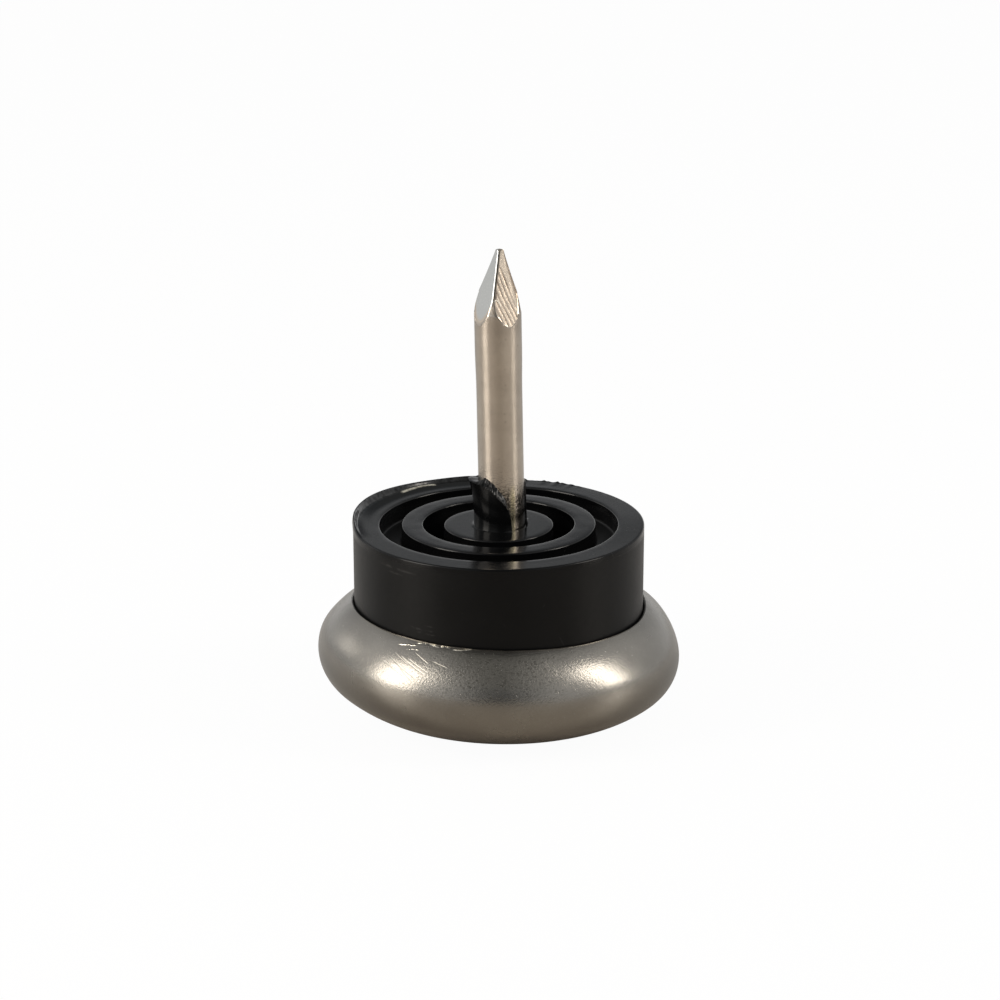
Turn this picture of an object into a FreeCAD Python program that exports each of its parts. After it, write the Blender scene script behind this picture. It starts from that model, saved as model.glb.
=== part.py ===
import FreeCAD, Part

import math
import os

import Sketcher

# Nail on furniture glide: a pressed steel cap that slides on the floor, a black moulded
# insert gripped in the cap's mouth, and a nail whose head is trapped under the insert.
# Origin at the middle of the flat underside, +Z along the nail. Lengths in millimetres.

# Driving dimensions
SIZES = {
    # cap: flat underside, half-round bulge, lip turned in around the insert
    "cap_radius": 12.0,
    "cap_wall": 0.6,
    "floor_radius": 5.85,
    "belly_height": 4.04,
    "belly_radius": 2.85,
    "crown_radius": 3.02,
    "crown_angle": 33.0,
    "shoulder_radius": 4.73,
    "lip_reach": 2.38,
    "lip_round": 0.14,
    # insert: seat and flange inside the cap, plain barrel above its lip
    "seat_play": 0.25,
    "flange_inset": 0.7,
    "flange_play": 0.08,
    "lip_play": 0.06,
    "barrel_flare": 0.04,
    "ring_top": 12.7,
    # rings and grooves in the top of the insert: the middle ring stands between the hub and
    # the outer ring, a little nearer to the hub, and the grooves take what is left
    "hub_radius": 3.61,
    "hub_drop": 0.08,
    "middle_ring_width": 1.42,
    "middle_ring_shift": 0.04,
    "outer_ring_wall": 1.75,
    "inner_groove_depth": 3.0,
    "outer_groove_depth": 1.3,
    "edge_round": 0.12,
    # raised burr along the back left edge of the outer ring
    "burr_height": 0.42,
    "burr_width": 0.25,
    "burr_overhang": 0.06,
    "burr_start_angle": 70.0,
    "burr_end_angle": 192.0,
    "burr_peak_angle": 160.0,
    # sleeve that rises round the nail, torn away on its right side
    "sleeve_wall": 0.33,
    "sleeve_height": 3.05,
    "tear_start": 0.36,
    "tear_knee": 2.4,
    "tear_bow": 3.2,
    "tear_foot": 0.62,
    "tear_back": 1.6,
    # nail: flat head under the insert, plain shank, four flats to a blunt point
    "nail_radius": 1.5,
    "nail_play": 0.02,
    "head_radius": 4.0,
    "head_thickness": 1.3,
    "head_play": 0.05,
    "swell_radius": 1.54,
    "swell_run": 2.6,
    "swell_length": 2.0,
    "tip_height": 31.35,
    "point_length": 4.75,
    "tip_half_width": 0.2,
    "flat_angle": 32.0,
    # how far a cutting outline stands clear of what it cuts
    "cut_margin": 1.0,
}

# Places worked out from the driving dimensions
PLACES = {
    # centres and tangent points of the cap's outer arcs, radius first and height second
    "belly_centre": "=sizes.cap_radius - sizes.belly_radius",
    "heel_radius": "=((places.belly_centre - sizes.floor_radius) ^ 2 + sizes.belly_height ^ 2"
                   " - sizes.belly_radius ^ 2) / (2 * (sizes.belly_height - sizes.belly_radius))",
    "heel_across": "=(places.belly_centre - sizes.floor_radius)"
                   " / (places.heel_radius - sizes.belly_radius)",
    "heel_down": "=(places.heel_radius - sizes.belly_height)"
                 " / (places.heel_radius - sizes.belly_radius)",
    "heel_end_x": "=places.belly_centre + sizes.belly_radius * places.heel_across",
    "heel_end_z": "=sizes.belly_height - sizes.belly_radius * places.heel_down",
    "crown_centre": "=sizes.cap_radius - sizes.crown_radius",
    "crown_end_x": "=places.crown_centre + sizes.crown_radius * cos(sizes.crown_angle)",
    "crown_end_z": "=sizes.belly_height + sizes.crown_radius * sin(sizes.crown_angle)",
    "shoulder_x": "=places.crown_end_x - sizes.shoulder_radius * cos(sizes.crown_angle)",
    "shoulder_z": "=places.crown_end_z - sizes.shoulder_radius * sin(sizes.crown_angle)",
    "lip_radius": "=sizes.cap_radius - sizes.lip_reach",
    "lip_top": "=places.shoulder_z + sqrt(sizes.shoulder_radius ^ 2"
               " - (places.lip_radius - places.shoulder_x) ^ 2)",
    # the cap's inner arcs share those centres, one wall smaller
    "inside_radius": "=sizes.cap_radius - sizes.cap_wall",
    "inside_belly": "=sizes.belly_radius - sizes.cap_wall",
    "inside_heel": "=places.heel_radius - sizes.cap_wall",
    "inside_crown": "=sizes.crown_radius - sizes.cap_wall",
    "inside_shoulder": "=sizes.shoulder_radius - sizes.cap_wall",
    "inside_heel_x": "=places.belly_centre + places.inside_belly * places.heel_across",
    "inside_heel_z": "=sizes.belly_height - places.inside_belly * places.heel_down",
    "inside_crown_x": "=places.crown_centre + places.inside_crown * cos(sizes.crown_angle)",
    "inside_crown_z": "=sizes.belly_height + places.inside_crown * sin(sizes.crown_angle)",
    "lip_under": "=places.shoulder_z + sqrt(places.inside_shoulder ^ 2"
                 " - (places.lip_radius - places.shoulder_x) ^ 2)",
    # insert
    "seat_radius": "=sizes.floor_radius - sizes.seat_play",
    "flange_radius": "=places.inside_radius - sizes.flange_inset",
    "flange_low": "=sizes.belly_height + sizes.flange_play - sqrt(places.inside_belly ^ 2"
                  " - (places.flange_radius - places.belly_centre) ^ 2)",
    "flange_high": "=places.shoulder_z - sizes.flange_play + sqrt(places.inside_shoulder ^ 2"
                   " - (places.flange_radius - places.shoulder_x) ^ 2)",
    "barrel_radius": "=places.lip_radius - sizes.lip_play",
    "barrel_top_radius": "=places.barrel_radius + sizes.barrel_flare",
    "outer_ring_inside": "=places.barrel_top_radius - sizes.outer_ring_wall",
    "middle_ring_middle": "=(sizes.hub_radius + places.outer_ring_inside) / 2 - sizes.middle_ring_shift",
    "middle_ring_inside": "=places.middle_ring_middle - sizes.middle_ring_width / 2",
    "middle_ring_outside": "=places.middle_ring_middle + sizes.middle_ring_width / 2",
    "inner_groove_floor": "=sizes.ring_top - sizes.inner_groove_depth",
    "outer_groove_floor": "=sizes.ring_top - sizes.outer_groove_depth",
    "hub_top": "=sizes.ring_top - sizes.hub_drop",
    # burr
    "burr_base": "=sizes.ring_top - sizes.edge_round",
    "burr_rise": "=sizes.burr_height + sizes.edge_round",
    "burr_top": "=sizes.ring_top + sizes.burr_height",
    "burr_outside": "=places.barrel_top_radius + sizes.burr_overhang",
    "burr_inside": "=places.burr_outside - sizes.burr_width",
    "burr_clear": "=places.burr_top + sizes.cut_margin",
    "across_all": "=2 * sizes.cap_radius",
    # sleeve
    "bore_radius": "=sizes.nail_radius + sizes.nail_play",
    "sleeve_radius": "=places.bore_radius + sizes.sleeve_wall",
    "sleeve_top": "=places.hub_top + sizes.sleeve_height",
    "sleeve_clear": "=places.sleeve_top + sizes.cut_margin",
    "sleeve_cut": "=places.sleeve_radius + sizes.cut_margin",
    "tear_start_x": "=0 - sizes.tear_start",
    "tear_knee_z": "=places.hub_top + sizes.tear_knee",
    # nail and the pocket that holds its head
    "head_top": "=sizes.cap_wall + sizes.head_thickness",
    "pocket_radius": "=sizes.head_radius + sizes.head_play",
    "pocket_roof": "=places.head_top + sizes.head_play",
    "point_base": "=sizes.tip_height - sizes.point_length",
    "swell_full": "=places.point_base - sizes.swell_length",
    "swell_start": "=places.swell_full - sizes.swell_run",
    "point_clear": "=sizes.tip_height + sizes.cut_margin",
    "point_cut": "=sizes.swell_radius + sizes.cut_margin",
    "point_cut_width": "=2 * places.point_cut",
}

FLAT_COUNT = 4


def add_sheet(doc, name, cells):
    """Write one spreadsheet: the word in column A, its value in column B."""
    sheet = doc.addObject("Spreadsheet::Sheet", name)
    for row, alias in enumerate(cells, start=1):
        sheet.set(f"A{row}", alias)
        sheet.setAlias(f"B{row}", alias)
    for row, content in enumerate(cells.values(), start=1):
        sheet.set(f"B{row}", str(content))
    return sheet


def value(doc, name):
    """Read a named value, such as sizes.cap_wall."""
    sheet, alias = name.split(".")
    return float(getattr(doc.getObject(sheet), alias))


def add_sketch(body, name, role):
    """Start a sketch on one of the body's own origin planes."""
    sketch = body.newObject("Sketcher::SketchObject", name)
    for feature in body.Origin.OriginFeatures:
        if feature.Role == role:
            sketch.AttachmentSupport = (feature, [""])
    sketch.MapMode = "FlatFace"
    return sketch


def bind(sketch, kind, references, name):
    """Add one dimension to a sketch and bind it to a named value."""
    size = value(sketch.Document, name)
    index = sketch.addConstraint(Sketcher.Constraint(kind, *references, size))
    sketch.setExpression(f"Constraints[{index}]", name)


def arc_between(start, end, radius, turn):
    """Arc from start to end, bulging right of the way there when turn is 1, left when -1."""
    chord = end - start
    to_centre = math.sqrt(radius ** 2 - (chord.Length / 2) ** 2)
    side = FreeCAD.Vector(-chord.y, chord.x, 0).normalize()
    centre = (start + end) * 0.5 + side * (to_centre * turn)
    angles = [math.atan2(p.y - centre.y, p.x - centre.x) for p in (start, end)]
    if turn < 0:
        angles.reverse()
    circle = Part.Circle(centre, FreeCAD.Vector(0, 0, 1), radius)
    return Part.ArcOfCircle(circle, angles[0], angles[1])


def draw_outline(sketch, corners, arcs=None):
    """Draw a closed outline. A corner is a pair of named values, across and up, where None
    is zero. arcs gives, by the number of the corner it starts from, an arc's named radius
    and its turn; every other side is straight."""
    doc = sketch.Document
    arcs = arcs or {}
    points = []
    for across, up in corners:
        x = value(doc, across) if across else 0.0
        y = value(doc, up) if up else 0.0
        points.append(FreeCAD.Vector(x, y, 0))

    first_end = {}
    last_end = {}
    for side, start in enumerate(points):
        end = points[(side + 1) % len(points)]
        first_end[side], last_end[side] = 1, 2
        if side in arcs:
            radius, turn = arcs[side]
            sketch.addGeometry(arc_between(start, end, value(doc, radius), turn), False)
            if turn < 0:
                first_end[side], last_end[side] = 2, 1
        else:
            sketch.addGeometry(Part.LineSegment(start, end), False)

    for side in range(len(points)):
        after = (side + 1) % len(points)
        join = (side, last_end[side], after, first_end[after])
        sketch.addConstraint(Sketcher.Constraint("Coincident", *join))
    for side, (across, up) in enumerate(corners):
        corner = (side, first_end[side])
        if across:
            bind(sketch, "DistanceX", (-1, 1) + corner, across)
        else:
            sketch.addConstraint(Sketcher.Constraint("PointOnObject", *corner, -2))
        if up:
            bind(sketch, "DistanceY", (-1, 1) + corner, up)
        else:
            sketch.addConstraint(Sketcher.Constraint("PointOnObject", *corner, -1))
    for side, (radius, turn) in arcs.items():
        bind(sketch, "Radius", (side,), radius)


def draw_circles(sketch, names):
    """Draw circles about the origin, each with a named radius."""
    for index, name in enumerate(names):
        radius = value(sketch.Document, name)
        circle = Part.Circle(FreeCAD.Vector(0, 0, 0), FreeCAD.Vector(0, 0, 1), radius)
        sketch.addGeometry(circle, False)
        sketch.addConstraint(Sketcher.Constraint("Coincident", index, 3, -1, 1))
        bind(sketch, "Radius", (index,), name)


def draw_sector(sketch, inner, outer, start_angle, end_angle):
    """Draw a piece of a ring between two named radii and two named angles in degrees."""
    doc = sketch.Document
    angles = [math.radians(value(doc, name)) for name in (start_angle, end_angle)]
    centre = FreeCAD.Vector(0, 0, 0)
    upright = FreeCAD.Vector(0, 0, 1)
    for name in (outer, inner):
        circle = Part.Circle(centre, upright, value(doc, name))
        sketch.addGeometry(Part.ArcOfCircle(circle, *angles), False)
    for angle in angles:
        ray = FreeCAD.Vector(math.cos(angle), math.sin(angle), 0)
        sketch.addGeometry(Part.LineSegment(ray * value(doc, inner), ray * value(doc, outer)), False)
    for arc, name in ((0, outer), (1, inner)):
        sketch.addConstraint(Sketcher.Constraint("Coincident", arc, 3, -1, 1))
        bind(sketch, "Radius", (arc,), name)
    for line, arc_end, angle in ((2, 1, start_angle), (3, 2, end_angle)):
        sketch.addConstraint(Sketcher.Constraint("Coincident", line, 1, 1, arc_end))
        sketch.addConstraint(Sketcher.Constraint("Coincident", line, 2, 0, arc_end))
        size = math.radians(value(doc, angle))
        index = sketch.addConstraint(Sketcher.Constraint("Angle", line, size))
        sketch.setExpression(f"Constraints[{index}]", f"{angle} * 1 deg")


def revolve(body, sketch, name):
    """Turn a half section about the sketch's upright axis."""
    turned = body.newObject("PartDesign::Revolution", name)
    turned.Profile = sketch
    turned.ReferenceAxis = (sketch, ["V_Axis"])
    sketch.Visibility = False
    return turned


def raise_sketch(sketch, name):
    """Lift a sketch off its plane to a named height."""
    sketch.setExpression(".AttachmentOffset.Base.z", name)


def pad(body, sketch, name, length):
    """Raise a solid from a sketch by a named length."""
    raised = body.newObject("PartDesign::Pad", name)
    raised.Profile = sketch
    raised.FuzzyTolerance = 0
    raised.setExpression("Length", length)
    return raised


def pocket(body, sketch, name, length, side="One side", backwards=False):
    """Cut a sketch's outline out of the body, and make sure that something was cut."""
    doc = body.Document
    doc.recompute()
    before = body.Shape.Volume
    cut = body.newObject("PartDesign::Pocket", name)
    cut.Profile = sketch
    cut.FuzzyTolerance = 0
    cut.SideType = side
    cut.Reversed = backwards
    cut.setExpression("Length", length)
    doc.recompute()
    if body.Shape.Volume >= before:
        raise RuntimeError(f"{name} cuts nothing")
    return cut


def round_edges(body, name, radius, circles):
    """Round the full-circle edges that lie at the given pairs of named radius and height."""
    doc = body.Document
    doc.recompute()
    base = body.Tip
    chosen = []
    for number, edge in enumerate(base.Shape.Edges, start=1):
        if not isinstance(edge.Curve, Part.Circle):
            continue
        for across, up in circles:
            same_radius = abs(edge.Curve.Radius - value(doc, across)) < 1e-6
            if same_radius and abs(edge.Curve.Center.z - value(doc, up)) < 1e-6:
                chosen.append(f"Edge{number}")
    if len(chosen) != len(circles):
        raise RuntimeError(f"{name} found {len(chosen)} of {len(circles)} edges")
    rounded = body.newObject("PartDesign::Fillet", name)
    rounded.Base = (base, chosen)
    rounded.setExpression("Radius", radius)
    return rounded


def make_cap(doc):
    """The pressed steel cap: one sheet, flat below, bulging, its lip turned in."""
    body = doc.addObject("PartDesign::Body", "glide_cap")
    section = add_sketch(body, "cap_section", "XZ_Plane")
    corners = [
        (None, None),
        ("sizes.floor_radius", None),
        ("places.heel_end_x", "places.heel_end_z"),
        ("sizes.cap_radius", "sizes.belly_height"),
        ("places.crown_end_x", "places.crown_end_z"),
        ("places.lip_radius", "places.lip_top"),
        ("places.lip_radius", "places.lip_under"),
        ("places.inside_crown_x", "places.inside_crown_z"),
        ("places.inside_radius", "sizes.belly_height"),
        ("places.inside_heel_x", "places.inside_heel_z"),
        ("sizes.floor_radius", "sizes.cap_wall"),
        (None, "sizes.cap_wall"),
    ]
    arcs = {
        1: ("places.heel_radius", 1),
        2: ("sizes.belly_radius", 1),
        3: ("sizes.crown_radius", 1),
        4: ("sizes.shoulder_radius", 1),
        6: ("places.inside_shoulder", -1),
        7: ("places.inside_crown", -1),
        8: ("places.inside_belly", -1),
        9: ("places.inside_heel", -1),
    }
    draw_outline(section, corners, arcs)
    revolve(body, section, "cap_shell")
    round_edges(body, "cap_lip_round", "sizes.lip_round", [("places.lip_radius", "places.lip_top")])
    return body


def make_insert(doc):
    """The black moulding: seat, flange, barrel, rings, burr and the torn nail sleeve."""
    body = doc.addObject("PartDesign::Body", "cushion_insert")
    section = add_sketch(body, "insert_section", "XZ_Plane")
    draw_outline(section, [
        ("places.pocket_radius", "sizes.cap_wall"),
        ("places.seat_radius", "sizes.cap_wall"),
        ("places.flange_radius", "places.flange_low"),
        ("places.flange_radius", "places.flange_high"),
        ("places.barrel_radius", "places.flange_high"),
        ("places.barrel_top_radius", "sizes.ring_top"),
        ("places.outer_ring_inside", "sizes.ring_top"),
        ("places.outer_ring_inside", "places.outer_groove_floor"),
        ("places.middle_ring_outside", "places.outer_groove_floor"),
        ("places.middle_ring_outside", "sizes.ring_top"),
        ("places.middle_ring_inside", "sizes.ring_top"),
        ("places.middle_ring_inside", "places.inner_groove_floor"),
        ("sizes.hub_radius", "places.inner_groove_floor"),
        ("sizes.hub_radius", "places.hub_top"),
        ("places.bore_radius", "places.hub_top"),
        ("places.bore_radius", "places.pocket_roof"),
        ("places.pocket_radius", "places.pocket_roof"),
    ])
    revolve(body, section, "insert_moulding")
    round_edges(body, "ring_edge_rounds", "sizes.edge_round", [
        ("places.barrel_top_radius", "sizes.ring_top"),
        ("places.outer_ring_inside", "sizes.ring_top"),
        ("places.middle_ring_outside", "sizes.ring_top"),
        ("places.middle_ring_inside", "sizes.ring_top"),
        ("sizes.hub_radius", "places.hub_top"),
    ])

    # The burr is a thin ledge, cut along a slope so that it fades out at both ends
    ledge = add_sketch(body, "burr_outline", "XY_Plane")
    raise_sketch(ledge, "places.burr_base")
    ledge_angles = ("sizes.burr_start_angle", "sizes.burr_end_angle")
    draw_sector(ledge, "places.burr_inside", "places.burr_outside", *ledge_angles)
    pad(body, ledge, "burr_ledge", "places.burr_rise")
    slope = add_sketch(body, "burr_slope_outline", "XZ_Plane")
    turned = FreeCAD.Rotation(FreeCAD.Vector(0, 1, 0), value(doc, "sizes.burr_peak_angle"))
    slope.AttachmentOffset = FreeCAD.Placement(FreeCAD.Vector(0, 0, 0), turned)
    slope.setExpression(".AttachmentOffset.Rotation.Angle", "sizes.burr_peak_angle")
    draw_outline(slope, [
        (None, "sizes.ring_top"),
        ("places.barrel_top_radius", "places.burr_top"),
        ("sizes.cap_radius", "places.burr_top"),
        ("sizes.cap_radius", "places.burr_clear"),
        (None, "places.burr_clear"),
    ])
    pocket(body, slope, "burr_slope", "places.across_all", side="Symmetric")

    # The sleeve is a tube round the nail, then its right side is torn off down to the hub
    tube = add_sketch(body, "sleeve_outline", "XY_Plane")
    raise_sketch(tube, "places.hub_top")
    draw_circles(tube, ["places.sleeve_radius", "places.bore_radius"])
    pad(body, tube, "sleeve_tube", "sizes.sleeve_height")
    tear = add_sketch(body, "front_tear_outline", "XZ_Plane")
    draw_outline(tear, [
        ("sizes.tear_foot", "places.hub_top"),
        ("places.sleeve_cut", "places.hub_top"),
        ("places.sleeve_cut", "places.sleeve_clear"),
        ("places.tear_start_x", "places.sleeve_clear"),
        ("places.tear_start_x", "places.sleeve_top"),
        (None, "places.tear_knee_z"),
    ], {5: ("sizes.tear_bow", -1)})
    pocket(body, tear, "front_tear", "places.sleeve_cut", backwards=True)
    gap = add_sketch(body, "back_tear_outline", "XZ_Plane")
    draw_outline(gap, [
        ("sizes.tear_back", "places.hub_top"),
        ("places.sleeve_cut", "places.hub_top"),
        ("places.sleeve_cut", "places.sleeve_clear"),
        ("sizes.tear_back", "places.sleeve_clear"),
    ])
    pocket(body, gap, "back_tear", "places.sleeve_cut")
    return body


def make_nail(doc):
    """The nail: head on the cap's floor, shank up through the insert, four-sided point."""
    body = doc.addObject("PartDesign::Body", "nail")
    section = add_sketch(body, "nail_section", "XZ_Plane")
    draw_outline(section, [
        (None, "sizes.cap_wall"),
        ("sizes.head_radius", "sizes.cap_wall"),
        ("sizes.head_radius", "places.head_top"),
        ("sizes.nail_radius", "places.head_top"),
        ("sizes.nail_radius", "places.swell_start"),
        ("sizes.swell_radius", "places.swell_full"),
        ("sizes.swell_radius", "sizes.tip_height"),
        (None, "sizes.tip_height"),
    ])
    revolve(body, section, "nail_blank")

    flat = add_sketch(body, "flat_outline", "XZ_Plane")
    turned = FreeCAD.Rotation(FreeCAD.Vector(0, 1, 0), value(doc, "sizes.flat_angle"))
    flat.AttachmentOffset = FreeCAD.Placement(FreeCAD.Vector(0, 0, 0), turned)
    flat.setExpression(".AttachmentOffset.Rotation.Angle", "sizes.flat_angle")
    draw_outline(flat, [
        ("sizes.swell_radius", "places.point_base"),
        ("places.point_cut", "places.point_base"),
        ("places.point_cut", "places.point_clear"),
        ("sizes.tip_half_width", "places.point_clear"),
        ("sizes.tip_half_width", "sizes.tip_height"),
    ])
    first = pocket(body, flat, "point_flat", "places.point_cut_width", side="Symmetric")
    around = body.newObject("PartDesign::PolarPattern", "point_flats")
    around.Originals = [first]
    around.Axis = (flat, ["V_Axis"])
    around.Angle = 360
    around.Occurrences = FLAT_COUNT
    body.Tip = around
    return body


def check_model(doc, bodies):
    """Stop if any object failed or any solid is missing or broken."""
    for item in doc.Objects:
        if "Invalid" in item.State or "Error" in item.State:
            raise RuntimeError(f"{item.Name} failed: {item.State}")
    for body in bodies:
        shape = body.Shape
        if shape.isNull() or not shape.isValid() or len(shape.Solids) != 1:
            raise RuntimeError(f"{body.Label} isn't one valid solid")


def main():
    doc = FreeCAD.newDocument("furniture_glide")
    add_sheet(doc, "sizes", SIZES)
    add_sheet(doc, "places", PLACES)
    doc.recompute()
    bodies = [make_cap(doc), make_insert(doc), make_nail(doc)]
    doc.recompute()
    check_model(doc, bodies)
    os.makedirs("parts", exist_ok=True)
    for body in bodies:
        body.Shape.exportStep(f"parts/{body.Label}.step")
        print(body.Label, round(body.Shape.Volume, 3))


main()
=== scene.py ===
import math

import bpy
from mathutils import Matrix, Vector, noise


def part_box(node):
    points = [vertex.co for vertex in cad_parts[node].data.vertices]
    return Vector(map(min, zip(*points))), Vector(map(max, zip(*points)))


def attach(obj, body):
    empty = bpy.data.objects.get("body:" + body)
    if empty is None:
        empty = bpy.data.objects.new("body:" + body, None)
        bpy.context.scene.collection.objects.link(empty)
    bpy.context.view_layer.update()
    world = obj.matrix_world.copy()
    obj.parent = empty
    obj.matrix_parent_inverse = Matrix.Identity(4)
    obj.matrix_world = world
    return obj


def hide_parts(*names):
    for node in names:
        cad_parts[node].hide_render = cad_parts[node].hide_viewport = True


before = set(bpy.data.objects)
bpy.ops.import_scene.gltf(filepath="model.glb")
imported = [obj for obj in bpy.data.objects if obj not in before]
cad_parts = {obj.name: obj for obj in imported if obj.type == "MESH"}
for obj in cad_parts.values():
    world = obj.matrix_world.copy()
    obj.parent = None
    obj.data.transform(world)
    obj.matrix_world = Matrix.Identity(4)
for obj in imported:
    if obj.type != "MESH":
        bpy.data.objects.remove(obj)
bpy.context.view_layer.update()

# A nail-on furniture glide: satin steel cap, black ringed insert, bright nail.
# Shapes are worked out in millimetres and turned to metres when a mesh is made.
# The front is the side towards -Y. Places round the glide are in degrees from +X.
# Pairs of numbers named for a start, an end or a place are stretches over which
# something comes in or fades out.
MM = 0.001
BODY = "root"

# Cap: the same arcs as the solid
CAP_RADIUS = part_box("glide_cap")[1].x / MM
CAP_WALL = 0.6
FLOOR_RADIUS = 5.85
BELLY_HEIGHT = 4.04
BELLY_RADIUS = 2.85
CROWN_RADIUS = 3.02
CROWN_ANGLE = math.radians(33.0)
SHOULDER_RADIUS = 4.73
LIP_REACH = 2.38
LIP_ROUND = 0.14
OUT_OF_ROUND = 0.012
BULGE_START = (6.0, 9.0)
LIP_WAVE = 0.018
LIP_START = (6.9, 7.35)

# Insert: barrel, rings and the hidden seat and flange
RING_TOP = 12.7
HUB_RADIUS = 3.61
HUB_TOP = 12.62
MIDDLE_RING = (4.98, 6.40)
OUTER_RING_INSIDE = 7.85
INNER_GROOVE_FLOOR = 9.7
OUTER_GROOVE_FLOOR = 11.4
BARREL_RADIUS = 9.56
BARREL_TOP_RADIUS = 9.60
EDGE_ROUND = 0.12
GROOVE_ROUND = 0.2
SEAT_RADIUS = 5.6
FLANGE_RADIUS = 10.7
FLANGE_LOW = 2.2
FLANGE_HIGH = 5.5
POCKET_RADIUS = 4.05
POCKET_ROOF = 1.95
BORE_RADIUS = 1.52
EDGE_WAVE = 0.012

# Insert: the sleeve round the nail, torn down to the hub on its right
SLEEVE_RADIUS = 1.85
SLEEVE_HEIGHT = 3.05
SLEEVE_FOOT = 0.12
SLEEVE_RIM = [
    (27.0, 0.0), (28.0, 0.5), (29.0, 1.7), (30.5, 2.6), (34, 2.8), (44, 2.9), (60, 3.0),
    (60, SLEEVE_HEIGHT), (226, SLEEVE_HEIGHT), (238, 2.95), (250, 2.72), (258, 2.5),
    (264, 2.3), (270, 2.1), (276, 1.88), (280.5, 1.7), (284, 1.5), (287, 1.2),
    (289, 0.85), (290.2, 0.45), (291.0, 0.0),
]
TEAR_BEHIND = 26.5
TEAR_IN_FRONT = 276.25
TORN_START = (200, 232)
TORN_END = (280, 288)
TORN_RISE = 0.25
FLARE_START = (150, 180)
FLARE_END = (200, 240)
FLARE_REACH = 0.3

# Insert: the burr along the back left of the outer ring, and the crumbs beside it
BURR_INSIDE = 8.45
BURR_LOW = 0.33
BURR_HEIGHT = 0.55
BURR_OVERHANG = 0.06
BURR_START = (80.0, 104.0)
BURR_GROWS = (112.0, 158.0)
BURR_END = (176.0, 200.0)
CRUMB_HEIGHT = 0.16
CRUMBS_START = (52.0, 60.0)
CRUMBS_END = (80.0, 92.0)

# Nail
NAIL_RADIUS = 1.5
HEAD_RADIUS = 4.0
HEAD_TOP = 1.9
SWELL_RADIUS = 1.54
SWELL_START = 22.0
SWELL_FULL = 24.6
POINT_BASE = 26.38
TIP_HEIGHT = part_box("nail")[1].z / MM
TIP_HALF_WIDTH = 0.18
TIP_BEVEL_FACING = 265.0
CORNER_START = 26.9
CORNER_END = 28.5
CORNER_RADIUS = 1.262
GROOVE_DEPTH = 0.004
GROOVE_SPACING = 0.30

# The point's four flats are counted from the one that faces FLAT_ANGLE. Each narrow face
# on the front ridge has its own facing, and how far it is worn back.
FLAT_ANGLE = 32.0
RIGHT_BACK_FLAT, LEFT_FLAT, RIGHT_FLAT = 0, 2, 3
RIDGE_FACES = ((238.0, 0.06), (268.0, 0.085))
FOLD_WIDTH = 0.03
LEFT_FOLD_END = (27.0, 28.2)
EDGE_DARK_START = (33.0, 41.0)

# How this glide departs from true: the cap is pressed on at a slant, the insert's top
# leans forward, and the nail stands aside of its middle and leans back over it.
CAP_SLANT = math.tan(math.radians(1.8))
CAP_BACK = (-3.0, 4.0)
CAP_BACK_HEIGHT = (4.6, 6.6)
CAP_BACK_RISE = 0.09
CAP_BACK_STRAIGHT = 0.85
SLANT_END = (7.8, 10.5)
TOP_START = (9.0, 11.5)
TOP_RISE = 0.09
TOP_PITCH = 0.009
TOP_RIGHT = (-2.0, 6.0)
TOP_BACK = (-6.0, 2.0)
BACK_RIGHT_RISE = 0.07
LEAN_START = HUB_TOP - 0.3
NAIL_ASIDE = 0.235
NAIL_LEAN = math.tan(math.radians(1.15))
TIP_BEND_START = 27.6
TIP_ASIDE = 0.21
NEAR_NAIL = (2.0, 3.4)
OFF_NAIL = (1.51, 1.53)

# Marks on the unrolled surfaces, in millimetres: from around, from up, to around, to up
# and width. Around starts at the front and grows towards +X.
CAP_UNROLL_RADIUS = 11.6
CAP_SCRATCHES = [
    (-8.3, 6.25, -6.1, 5.55, 0.04), (-7.9, 6.5, -5.3, 5.55, 0.04), (-7.1, 6.65, -4.9, 5.9, 0.04),
    (-6.5, 6.6, -4.8, 6.05, 0.04), (-6.9, 6.1, -5.6, 5.35, 0.035), (-7.7, 6.75, -6.3, 6.3, 0.03),
    (-6.2, 6.95, -4.9, 6.5, 0.03), (-4.7, 6.65, -3.5, 6.4, 0.04), (-5.9, 6.5, -5.2, 5.9, 0.03),
    (3.36, 6.7, 3.87, 5.9, 0.02), (3.8, 6.6, 4.25, 5.8, 0.02), (4.75, 6.6, 5.3, 5.9, 0.02),
]
# Folds along the cap's lip: raised by the bump, and painted pale as a painted highlight
LIP_FOLDS_AND_GLINTS = [
    (-7.9, 7.17, -6.3, 7.27, 0.04), (-6.5, 7.38, -5.2, 7.42, 0.05), (-5.3, 7.40, -3.7, 7.42, 0.06),
    (-7.0, 7.02, -6.0, 7.10, 0.03), (-3.5, 7.34, -2.0, 7.34, 0.04),
]
BARREL_SCUFFS = [
    (-6.2, 8.25, -4.3, 8.15, 0.10), (-5.6, 8.0, -4.2, 7.95, 0.08), (-5.2, 8.5, -4.4, 8.5, 0.06),
    (-9.0, 12.0, -5.5, 11.85, 0.10), (-8.0, 11.6, -6.6, 11.6, 0.08),
]
# Painted highlight: thin pale strokes on the burr's inner face, where a lamp glints
BURR_GLINT_STROKES = [
    (-22.4, 12.95, -24.3, 12.98, 0.03), (-23.6, 12.98, -24.9, 12.98, 0.035),
    (-24.6, 12.98, -25.5, 12.95, 0.025),
]
# A sheared sliver along the nail's front ridge, painted near-white as a painted highlight
RIDGE_FOLD_GLINTS = [
    (-0.50, 28.40, -0.38, 28.17, 0.045), (-0.38, 28.17, -0.13, 28.25, 0.045),
    (-0.13, 28.25, 0.12, 27.98, 0.045), (0.12, 27.98, 0.16, 27.82, 0.04),
]
# Painted shade: dark strokes in hollows along the nail's front ridge
RIDGE_HOLLOW_SHADES = [(-0.20, 28.75, -0.22, 28.32, 0.07), (-0.41, 28.05, -0.41, 27.80, 0.05)]
# Where round the nail's foot the painted highlight line lies
HIGHLIGHT_LINE_AROUND = 0.92

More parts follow.
